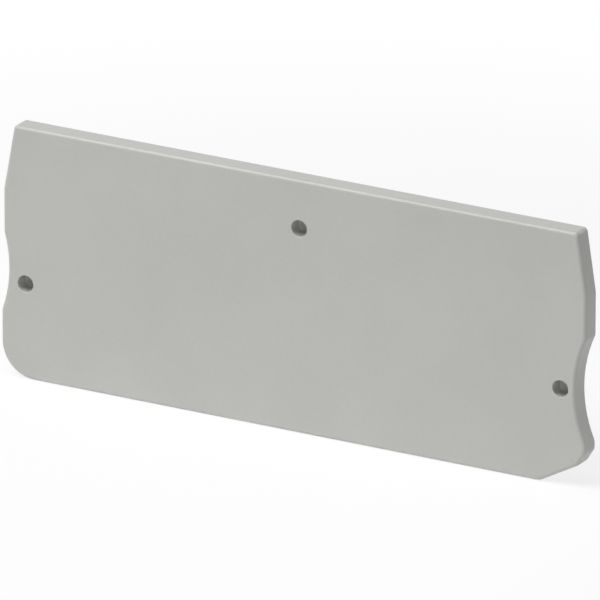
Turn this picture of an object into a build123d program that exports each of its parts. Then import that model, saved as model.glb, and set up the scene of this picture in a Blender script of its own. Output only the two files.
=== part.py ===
from build123d import *
import os

# End cover for a narrow rail-mounted terminal block: one flat moulded plate.
# The block's open side meets the plate's back face, in the plane Y = 0.
# The plate stands upright with its front face towards -Y and its marking edge up.
# X runs along the plate, and the origin is in the middle of its length and height.

# Plate
length = 72.0
height = 29.0
thickness = 2.2

# Top corners, each set in from the plate's end by the slanted run below it
top_left_inset = 1.65
top_right_inset = 1.1

# Upright run of each end, from the slanted run down to the waist
left_upright_inset = 0.3
upright_run = 4.9

# Waists: the shallow hollows in the two ends
left_waist_length = 9.0
left_waist_depth = 0.72
left_waist_rise = 1.05
right_waist_length = 12.0
right_waist_depth = 1.3

# Foot corners: round on the left, and on the right a short upright run below the waist,
# a steep side bevel and a long foot bevel that takes the height that is left
foot_radius = 4.0
right_foot_run = 0.95
side_bevel_width = 0.95
side_bevel_height = 1.5
foot_bevel_width = 4.65

# Corner and edge roundings
top_corner_radius = 0.5
shoulder_radius = 1.2
waist_end_radius = 1.0
side_bevel_radius = 1.0
bevel_meeting_radius = 0.5
foot_bevel_radius = 2.0
front_edge_radius = 0.4

# Latching points: a blind socket in the front and a pin on the back, on one axis
end_latch_inset = 3.05
end_latch_height = 11.0
middle_latch_offset = 1.0
middle_latch_drop = 5.55
socket_diameter = 1.9
socket_depth = 1.7
socket_rim_radius = 0.08
socket_floor_radius = 0.2
pin_diameter = 1.85
pin_length = 1.5
pin_lead = 0.25

# Edges of the plate and heights that both ends share
left_end = -length / 2
right_end = length / 2
foot = -height / 2
top = height / 2
latch_level = foot + end_latch_height
socket_floor = socket_depth - thickness

# Ends of the waists: the right one is centred on its latching point
left_waist_low = latch_level + left_waist_rise - left_waist_length / 2
left_waist_high = left_waist_low + left_waist_length
right_waist_low = latch_level - right_waist_length / 2
right_waist_high = right_waist_low + right_waist_length
left_upright = left_end + left_upright_inset

# Outline points, in order from the top left corner
top_left = (left_end + top_left_inset, top)
top_right = (right_end - top_right_inset, top)
right_shoulder = (right_end, right_waist_high + upright_run)
right_waist_top = (right_end, right_waist_high)
right_waist_bottom = (right_end, right_waist_low)
side_bevel_top = (right_end, right_waist_low - right_foot_run)
bevel_meeting = (right_end - side_bevel_width, side_bevel_top[1] - side_bevel_height)
foot_bevel_end = (bevel_meeting[0] - foot_bevel_width, foot)
foot_left = (left_end, foot)
left_waist_bottom = (left_end, left_waist_low)
left_waist_top = (left_upright, left_waist_high)
left_shoulder = (left_upright, left_waist_high + upright_run)

# Latching points, seen from the front
latch_points = [
    (left_end + end_latch_inset, latch_level),
    (middle_latch_offset, top - middle_latch_drop),
    (right_end - end_latch_inset, latch_level),
]

# Outline corners that share a rounding
roundings = [
    (top_corner_radius, [top_left, top_right]),
    (shoulder_radius, [left_shoulder, right_shoulder]),
    (waist_end_radius, [left_waist_top, left_waist_bottom, right_waist_top, right_waist_bottom]),
    (side_bevel_radius, [side_bevel_top]),
    (bevel_meeting_radius, [bevel_meeting]),
    (foot_bevel_radius, [foot_bevel_end]),
    (foot_radius, [foot_left]),
]

with BuildPart() as end_cover:
    # Flat plate, from the back face forwards
    with BuildSketch(Plane.XZ) as outline:
        with BuildLine():
            Polyline(top_left, top_right, right_shoulder, right_waist_top)
            SagittaArc(right_waist_top, right_waist_bottom, -right_waist_depth)
            Polyline(right_waist_bottom, side_bevel_top, bevel_meeting, foot_bevel_end)
            Polyline(foot_bevel_end, foot_left, left_waist_bottom)
            SagittaArc(left_waist_bottom, left_waist_top, -left_waist_depth)
            Polyline(left_waist_top, left_shoulder, top_left)
        make_face()
        for radius, corners in roundings:
            fillet([outline.vertices().sort_by_distance(point)[0] for point in corners], radius)
    extrude(amount=thickness)

    # Soft edge all round the front, while the back keeps its sharp one
    fillet(end_cover.faces().sort_by(Axis.Y)[0].edges(), front_edge_radius)

    # Blind sockets in the front, each with a softened rim and a rounded floor
    with BuildSketch(Plane.XZ.offset(thickness)):
        with Locations(*latch_points):
            Circle(socket_diameter / 2)
    extrude(amount=-socket_depth, mode=Mode.SUBTRACT)
    front_face = end_cover.faces().sort_by(Axis.Y)[0]
    fillet(front_face.inner_wires().edges(), socket_rim_radius)
    socket_floors = end_cover.faces().filter_by_position(Axis.Y, socket_floor, socket_floor)
    fillet(socket_floors.edges(), socket_floor_radius)

    # Pins on the back, with a lead-in at the tip
    with BuildSketch(Plane.XZ):
        with Locations(*latch_points):
            Circle(pin_diameter / 2)
    extrude(amount=-pin_length)
    chamfer(end_cover.edges().group_by(Axis.Y)[-1], pin_lead)

end_cover.part.label = "end_cover"

os.makedirs("parts", exist_ok=True)
export_step(end_cover.part, "parts/end_cover.step")
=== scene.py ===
# %% [markdown]
# # A moulded end cover, as it comes out of the bag
#
# The object is one flat plate of light grey plastic, moulded in a single shot. It closes the open side of
# the last terminal block on a rail. The solid already has the right shape, with its soft front edge, its
# three sockets and the pins behind them, so it stays as it is. This lesson is about the finish: what makes
# plain grey plastic look like plastic, and how soft light draws an edge less than half a millimetre wide.

# %% Load the plate
import math

import bpy
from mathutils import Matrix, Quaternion, Vector


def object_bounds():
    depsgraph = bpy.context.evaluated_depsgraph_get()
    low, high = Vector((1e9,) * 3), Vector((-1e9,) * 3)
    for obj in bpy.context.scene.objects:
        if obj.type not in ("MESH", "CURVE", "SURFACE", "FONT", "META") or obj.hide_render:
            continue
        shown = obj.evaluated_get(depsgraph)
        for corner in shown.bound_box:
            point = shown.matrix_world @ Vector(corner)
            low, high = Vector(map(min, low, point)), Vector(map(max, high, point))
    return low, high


MM_PER_METRE = 1000

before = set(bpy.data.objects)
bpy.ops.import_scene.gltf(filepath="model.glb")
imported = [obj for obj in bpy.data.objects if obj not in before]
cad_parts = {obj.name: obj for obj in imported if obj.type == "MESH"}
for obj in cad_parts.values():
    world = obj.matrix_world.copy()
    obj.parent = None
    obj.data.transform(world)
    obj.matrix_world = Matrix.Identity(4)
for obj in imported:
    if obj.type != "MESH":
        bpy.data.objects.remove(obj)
solid_low, solid_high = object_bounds()
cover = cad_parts["end_cover"]


def in_mm(metres):
    """A length in millimetres, rounded to be printed."""
    return round(metres * MM_PER_METRE, 2)


print("plate, in mm:", [in_mm(side) for side in solid_high - solid_low])
print("triangles:", len(cover.data.polygons))

# %% [markdown]
# ## Start the plastic
#
# Grey moulded plastic is a coloured body under a thin dull skin: light goes in, scatters off the pigment
# and comes out grey, and a little of it is turned back at the surface without any colour. One Principled
# shader does both. Every pattern in it reads the Object coordinates, which are metres on this plate, so a
# pattern has a real size and stays put when the plate is seen from another side.

# %% One material with a Principled shader
plastic = bpy.data.materials.new("light_grey_moulding")
plastic.use_nodes = True
nodes = plastic.node_tree.nodes
links = plastic.node_tree.links
shader = nodes["Principled BSDF"]
shader.inputs["IOR"].default_value = 1.5
place_on_plate = nodes.new("ShaderNodeTexCoord")
print("material:", plastic.name, "with", shader.name)

# %% [markdown]
# ## Patterns with a real size
#
# No moulding is quite even, so its colour, its surface and its gloss all take a cloudy noise. One helper
# makes such a pattern at a size in millimetres. The noise stays mostly between 0.3 and 0.7, so a second
# helper spreads that range over the numbers that a socket needs.

# %% Two helpers for patterns
USUAL_LOW, USUAL_HIGH = 0.3, 0.7


def noise_of(size_mm, detail, rough):
    """A cloudy pattern whose blotches are about size_mm across."""
    pattern = nodes.new("ShaderNodeTexNoise")
    pattern.inputs["Scale"].default_value = MM_PER_METRE / size_mm
    pattern.inputs["Detail"].default_value = detail
    pattern.inputs["Roughness"].default_value = rough
    links.new(place_on_plate.outputs["Object"], pattern.inputs["Vector"])
    return pattern.outputs["Fac"]


def spread(pattern, low, high):
    """Turn a pattern's usual range into the numbers from low to high."""
    span = nodes.new("ShaderNodeMapRange")
    span.inputs["From Min"].default_value = USUAL_LOW
    span.inputs["From Max"].default_value = USUAL_HIGH
    span.inputs["To Min"].default_value = low
    span.inputs["To Max"].default_value = high
    links.new(pattern, span.inputs["Value"])
    return span.outputs["Result"]


print("patterns are spread from", USUAL_LOW, "to", USUAL_HIGH)

# %% [markdown]
# ## The pigment
#
# The grey is a mix of white, black and a little yellow in clear plastic. It isn't perfectly even: where the
# melt slowed down it lies a shade denser, in clouds about a centimetre wide, and close up there is a faint
# speckle. Two greys a hair apart are mixed by those two patterns. More contrast would look like stone.

# %% Two greys, mixed in clouds and specks
dense_grey = (0.459, 0.464, 0.440, 1)
thin_grey = (0.481, 0.484, 0.461, 1)
speck_share = 0.35
clouds = noise_of(size_mm=11, detail=2, rough=0.5)
specks = noise_of(size_mm=0.35, detail=3, rough=0.6)
pigment_amount = nodes.new("ShaderNodeMath")
pigment_amount.operation = "MULTIPLY_ADD"
pigment_amount.inputs[1].default_value = speck_share
links.new(spread(specks, -1, 1), pigment_amount.inputs[0])
links.new(spread(clouds, 0, 1), pigment_amount.inputs[2])
pigment = nodes.new("ShaderNodeMix")
pigment.data_type = "RGBA"
pigment.inputs["A"].default_value = dense_grey
pigment.inputs["B"].default_value = thin_grey
links.new(pigment_amount.outputs[0], pigment.inputs["Factor"])
links.new(pigment.outputs["Result"], shader.inputs["Base Color"])
print("greys:", dense_grey[:3], "to", thin_grey[:3])

# %% [markdown]
# ## The skin
#
# The mould was spark-eroded, which leaves it very finely pitted, and the plastic copies that. The pits are
# less than a tenth of a millimetre wide, far too small to model, so a bump pattern tilts the surface for
# the light only. Larger and much shallower waves stand for the sink that a thin plate gets as it cools.

# %% Grain and sink, as a bump
grain_mm, sink_mm = 0.09, 7
grain = noise_of(grain_mm, detail=2, rough=0.55)
sink = noise_of(sink_mm, detail=1, rough=0.4)


def bump_of(pattern, depth_mm, strength, below=None):
    """Raise the surface by a pattern, for the light only, over any bump that is already there."""
    bump = nodes.new("ShaderNodeBump")
    bump.inputs["Strength"].default_value = strength
    bump.inputs["Distance"].default_value = depth_mm / MM_PER_METRE
    links.new(pattern, bump.inputs["Height"])
    if below:
        links.new(below, bump.inputs["Normal"])
    return bump.outputs["Normal"]


sunken = bump_of(sink, depth_mm=0.05, strength=0.5)
grained = bump_of(grain, depth_mm=0.012, strength=0.6, below=sunken)
links.new(grained, shader.inputs["Normal"])
print("grain about", grain_mm, "mm wide, sink about", sink_mm, "mm wide")

# %% [markdown]
# ## The gloss
#
# Such a skin is dull, with a wide soft shine where the edge turns to the light. How dull it is varies a
# little from place to place, because the mould is more worn in some spots than in others.

# %% Roughness that wanders a little
least_rough, most_rough = 0.36, 0.45
worn_mould = noise_of(size_mm=4, detail=3, rough=0.6)
links.new(spread(worn_mould, least_rough, most_rough), shader.inputs["Roughness"])
print("roughness from", least_rough, "to", most_rough)

# %% [markdown]
# ## Put the plastic on the plate
#
# The whole plate is one shot of plastic, so there is one material and one slot for it.

# %% Fill the plate's material slot
for slot in cover.material_slots:
    slot.material = plastic
print("slots filled:", len(cover.material_slots))

# %% [markdown]
# ## The table
#
# The plate stands on its long lower edge on a wide white table. It belongs to the stage, not to the object.
# It is so wide that its far edge never comes into view.

# %% A white table
table_width = 8
bpy.ops.object.select_all(action="DESELECT")
bpy.ops.mesh.primitive_plane_add(size=table_width, location=(0, 0, solid_low.z))
table = bpy.context.object
table.name = "table"
bpy.ops.object.transform_apply(location=True, rotation=True, scale=True)
print("table", table_width, "m wide at z, in mm:", in_mm(solid_low.z))

# %% [markdown]
# ## White to look at, dim as a light
#
# A white background that also lit the plate would wash it out. So the table and the room are plain white
# for the camera and in reflections, and for all other light they are a matt table in a dim room. The Light
# Path node tells the two kinds of ray apart.

# %% Tell the camera's rays from the others
def seen_by_camera(tree):
    """1 for a ray from the camera, or one reflected or let through on its way from it, else 0."""
    path = tree.nodes.new("ShaderNodeLightPath")
    seen = path.outputs["Is Camera Ray"]
    for kind in ("Is Glossy Ray", "Is Transmission Ray"):
        either = tree.nodes.new("ShaderNodeMath")
        either.operation = "MAXIMUM"
        tree.links.new(seen, either.inputs[0])
        tree.links.new(path.outputs[kind], either.inputs[1])
        seen = either.outputs[0]
    return seen


print("rays told apart: camera, glossy and transmission from the rest")

# %% [markdown]
# ## The matt table
#
# A white table throws light back up at the plate. A pool of light is painted into its colour: it is whitest
# in front of the plate and a little to the left, so what it throws back is strongest low on the left.
# Further out the painted colour is a light grey, so the rest of the plate gets less.

# %% A painted pool of light on a matt table
def change_outwards(tree, centre, start, end, near, far):
    """Near at the centre and far away from it, with a soft change from start to end, in metres."""
    place = tree.nodes.new("ShaderNodeTexCoord")
    distance = tree.nodes.new("ShaderNodeVectorMath")
    distance.operation = "DISTANCE"
    distance.inputs[1].default_value = centre
    change = tree.nodes.new("ShaderNodeMapRange")
    change.interpolation_type = "SMOOTHSTEP"
    change.inputs["From Min"].default_value = start
    change.inputs["From Max"].default_value = end
    change.inputs["To Min"].default_value = near
    change.inputs["To Max"].default_value = far
    tree.links.new(place.outputs["Object"], distance.inputs[0])
    tree.links.new(distance.outputs["Value"], change.inputs["Value"])
    return change.outputs["Result"]


# Painted light: the table's colour is made whitest round this point, a pool of light painted on, and greyer
# further out.
painted_light_centre = (-0.02, -0.03, solid_low.z)
table_white = bpy.data.materials.new("table_white")
table_white.use_nodes = True
table.data.materials.append(table_white)
tree = table_white.node_tree
matt = tree.nodes["Principled BSDF"]
matt.inputs["Roughness"].default_value = 0.9
painted_pool_of_light = change_outwards(tree, painted_light_centre, start=0.04, end=0.14, near=0.92, far=0.6)
tree.links.new(painted_pool_of_light, matt.inputs["Base Color"])
print("table whitest at, in mm:", [in_mm(part) for part in painted_light_centre])

# %% [markdown]
# ## Plain white over the matt table
#
# Near the plate a fifth of what the camera sees is the matt table itself, which takes a soft shadow, and
# the rest is plain white. Further out it is all plain white. A Mix Shader lays the one over the other, by
# the distance from the plate, and only where the camera or a reflection sees the table.

# %% Cover the matt table where it is seen
under_plate = (0, 0, solid_low.z)
plain_white = tree.nodes.new("ShaderNodeEmission")
white_share = tree.nodes.new("ShaderNodeMath")
white_share.operation = "MULTIPLY"
white_by_distance = change_outwards(tree, under_plate, start=0.05, end=0.14, near=0.8, far=1)
tree.links.new(white_by_distance, white_share.inputs[0])
tree.links.new(seen_by_camera(tree), white_share.inputs[1])
cover_up = tree.nodes.new("ShaderNodeMixShader")
tree.links.new(white_share.outputs[0], cover_up.inputs["Fac"])
tree.links.new(matt.outputs["BSDF"], cover_up.inputs[1])
tree.links.new(plain_white.outputs["Emission"], cover_up.inputs[2])
tree.links.new(cover_up.outputs["Shader"], tree.nodes["Material Output"].inputs["Surface"])
print("table:", table_white.name, "with", len(tree.nodes), "nodes")

# %% [markdown]
# ## The room
#
# The room is done in the same way: white where the camera or a reflection sees it, and a tenth of that as
# a source of light. That tenth is the soft light that fills the shadows.

# %% A white room
room_level = 0.1
room = bpy.data.worlds.new("white_room")
room.use_nodes = True
bpy.context.scene.world = room
background = room.node_tree.nodes["Background"]
background.inputs["Color"].default_value = (1, 1, 1, 1)
room_strength = room.node_tree.nodes.new("ShaderNodeMapRange")
room_strength.inputs["To Min"].default_value = room_level
room_strength.inputs["To Max"].default_value = 1
room.node_tree.links.new(seen_by_camera(room.node_tree), room_strength.inputs["Value"])
room.node_tree.links.new(room_strength.outputs["Result"], background.inputs["Strength"])
print("room lights the plate at", room_level)

# %% [markdown]
# ## The lamps
#
# The plate's front is a mid grey, its top edge is lighter, the rounding between them is lightest, and the
# end that faces the camera is darker. That takes one soft lamp high on the left and one overhead. A weak
# lamp low on the right keeps that end from going too dark and shines into the sockets, which would
# otherwise be black. One more lights the back and its pins for the other views, and hangs low so that it
# hardly reaches the top edge.

# %% Four soft lamps
LAMPS = [
    # name, degrees round from the front, degrees up, distance, width, height, power
    ("overhead", -10, 78, 0.70, 0.45, 0.30, 1.75),
    ("high_left", -45, 50, 0.70, 0.45, 0.30, 3.3),
    ("low_right", 35, 8, 0.70, 0.45, 0.30, 0.8),
    ("behind", 172, 10, 0.90, 0.60, 0.20, 2.6),
]


def way_to(degrees_round, degrees_up):
    """The direction from the plate to something that stands round it and above it."""
    turn = math.radians(degrees_round)
    rise = math.radians(degrees_up)
    return Vector((math.sin(turn) * math.cos(rise), -math.cos(turn) * math.cos(rise), math.sin(rise)))


def hang_lamp(name, degrees_round, degrees_up, distance, width, height, power):
    """A soft box that faces the plate."""
    lamp = bpy.data.objects.new(name, bpy.data.lights.new(name, "AREA"))
    lamp.data.shape = "RECTANGLE"
    lamp.data.size = width
    lamp.data.size_y = height
    lamp.data.energy = power
    way = way_to(degrees_round, degrees_up)
    lamp.location = way * distance
    lamp.rotation_euler = way.to_track_quat("Z", "Y").to_euler()
    bpy.context.collection.objects.link(lamp)
    print(name, "at, in mm:", [in_mm(part) for part in lamp.location], "with", power, "W")


for lamp_facts in LAMPS:
    hang_lamp(*lamp_facts)

# %% [markdown]
# ## The camera
#
# A long lens from nearly two metres away keeps the plate's edges almost parallel, as in the photograph. It
# looks from the plate's right and from above, at the middle of the back face. A tenth of a millimetre of
# travel and a tenth of a degree of tilt put the outline where the photograph has it.

# %% A long lens, 29 degrees to the right and 20 degrees up
camera_way = way_to(degrees_round=29.2, degrees_up=20.2)
metres_away = 1.925
tilt_degrees = 0.12
travel_mm = Vector((-0.075, -0.07, 0))
camera = bpy.data.objects.new("camera", bpy.data.cameras.new("camera"))
camera.data.sensor_width = 36
camera.data.lens = 1074
tilt = Quaternion((0, 0, 1), math.radians(tilt_degrees))
camera_turn = camera_way.to_track_quat("Z", "Y") @ tilt
camera.location = camera_way * metres_away + camera_turn @ travel_mm / MM_PER_METRE
camera.rotation_euler = camera_turn.to_euler()
bpy.context.collection.objects.link(camera)
bpy.context.scene.camera = camera
bpy.context.scene.view_settings.view_transform = "Standard"
print("camera at, in mm:", [in_mm(part) for part in camera.location])
